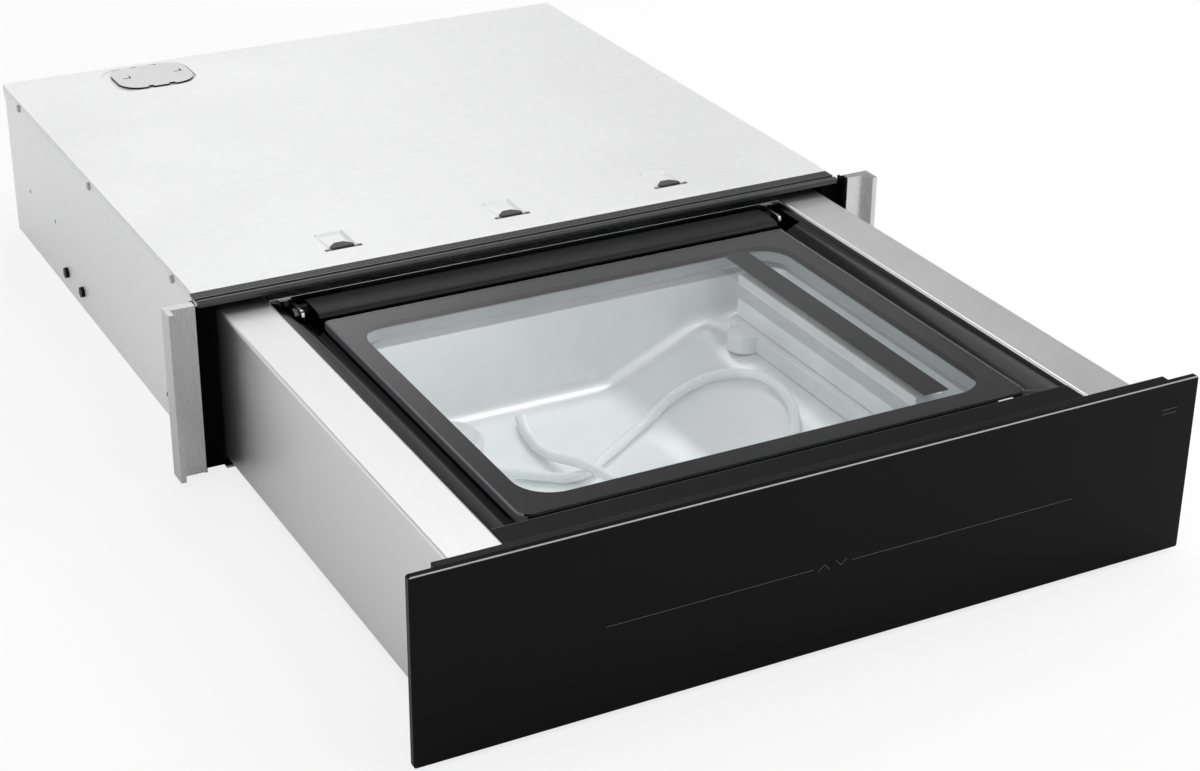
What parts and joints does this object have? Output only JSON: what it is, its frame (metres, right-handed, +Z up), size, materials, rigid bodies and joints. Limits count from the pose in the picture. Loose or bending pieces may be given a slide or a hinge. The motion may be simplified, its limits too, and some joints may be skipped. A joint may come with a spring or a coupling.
{
  "type": "vacuum sealing drawer",
  "caption": "Built-in kitchen drawer with a vacuum chamber under a hinged glass lid, a lifting seal bar, a pump behind the chamber and a black glass front.",
  "frame": {"origin": "underside of the cabinet, on its symmetry plane, in the front plane of the kitchen furniture", "axes": "+X to the right seen from the front, +Y to the back of the niche, +Z up; the drawer runs out towards -Y and is stored fully out"},
  "size_m": [0.597, 0.942, 0.1383],
  "materials": {
    "galvanised_sheet": "zinc-coated sheet, satin",
    "black_steel": "black powder coat, matte",
    "rail_plastic": "ribbed, satin",
    "trim_aluminium": "brushed, satin",
    "box_steel": "brushed, satin",
    "rail_steel": "zinc-coated",
    "screw_steel": "zinc-coated",
    "black_glass": "back-printed black, polished",
    "clear_glass": "toughened, with a dark grey printed border",
    "black_plastic": "fine grain",
    "gloss_black": "gloss",
    "circuit_board": "solder mask",
    "chamber_steel": "pressed stainless steel, bead-blasted",
    "grey_plastic": "smooth",
    "white_plastic": "smooth",
    "bar_aluminium": "anodised, satin",
    "release_tape": "pale release tape, fine weave",
    "grey_rubber": "silicone, matte",
    "black_rubber": "matte",
    "hinge_cover_grey": "dark grey, satin",
    "pump_casting": "die-cast",
    "motor_steel": "black paint, satin",
    "transformer_iron": "lacquered",
    "valve_brass": "machined",
    "white_silicone": "translucent silicone"
  },
  "bodies": {
    "cabinet": {"base_pan": "galvanised_sheet", "top_cover": "galvanised_sheet", "rear_panel": "galvanised_sheet", "outlet_cover": "galvanised_sheet", "stack_buffers": "grey_rubber", "front_frame": "black_steel", "top_rail": "rail_plastic", "trim_left": "trim_aluminium", "trim_right": "trim_aluminium", "trim_screws": "screw_steel", "cover_screws": "screw_steel", "side_plugs": "black_plastic", "cable_gland": "black_plastic", "fixed_rail_left": "rail_steel", "fixed_rail_right": "rail_steel", "latch_housing": "grey_plastic"},
    "latch": {"latch_plunger": "white_plastic"},
    "middle_left": {"middle_rail_left": "rail_steel"},
    "middle_right": {"middle_rail_right": "rail_steel"},
    "drawer": {"drawer_pan": "galvanised_sheet", "drawer_back": "galvanised_sheet", "side_box_left": "box_steel", "side_box_right": "box_steel", "inner_rail_left": "rail_steel", "inner_rail_right": "rail_steel", "glass_front": "black_glass", "front_carrier": "black_plastic", "control_panel": "gloss_black", "control_board": "circuit_board", "deck_surround": "black_plastic", "rear_plate": "box_steel", "lid_guides": "bar_aluminium", "chamber": "chamber_steel", "suction_cover": "grey_plastic", "hose_port": "grey_plastic", "seal_base": "bar_aluminium", "hinge_bracket_left": "box_steel", "hinge_bracket_right": "box_steel", "hinge_pins": "screw_steel", "spring_cases": "black_plastic", "pump_body": "pump_casting", "pump_heads": "pump_casting", "pump_motor": "motor_steel", "pump_feet": "black_rubber", "transformer": "transformer_iron", "power_board": "circuit_board", "solenoid_valve": "valve_brass", "vacuum_line": "black_rubber", "hose": "white_silicone"},
    "seal": {"seal_bar": "bar_aluminium", "heating_strip": "release_tape"},
    "fan": {"fan_rotor": "white_plastic"},
    "lid": {"lid_glass": "clear_glass", "lid_frame": "black_plastic", "lid_gasket": "grey_rubber", "counter_bar": "grey_rubber", "hinge_cover": "hinge_cover_grey", "hinge_arm_left": "black_steel", "hinge_arm_right": "black_steel"}
  },
  "joints": [
    {"name": "drawer_slide", "type": "slide", "parent": "cabinet", "child": "drawer", "axis": [0, -1, 0], "range_m": [-0.401, 0]},
    {"name": "middle_left_slide", "type": "slide", "parent": "cabinet", "child": "middle_left", "axis": [0, -1, 0], "range_m": [-0.2005, 0]},
    {"name": "middle_right_slide", "type": "slide", "parent": "cabinet", "child": "middle_right", "axis": [0, -1, 0], "range_m": [-0.2005, 0]},
    {"name": "lid_hinge", "type": "hinge", "parent": "drawer", "child": "lid", "pos_m": [0, -0.011, 0.117], "axis": [-1, 0, 0], "range_deg": [0, 65], "stiffness_Nm_per_rad": 2.2, "springref_deg": 117.17},
    {"name": "seal_lift", "type": "slide", "parent": "drawer", "child": "seal", "axis": [0, 0, 1], "range_m": [0, 0.011]},
    {"name": "fan_spin", "type": "hinge", "parent": "drawer", "child": "fan", "pos_m": [0.084, 0.04565, 0.0462], "axis": [1, 0, 0], "continuous": true},
    {"name": "latch_push", "type": "slide", "parent": "cabinet", "child": "latch", "axis": [0, 1, 0], "range_m": [0, 0.008], "stiffness_N_per_m": 300, "springref_m": -0.004}
  ],
  "couplings": [
    {"joint": "middle_left_slide", "follows": "drawer_slide", "ratio": 0.5},
    {"joint": "middle_right_slide", "follows": "drawer_slide", "ratio": 0.5}
  ]
}
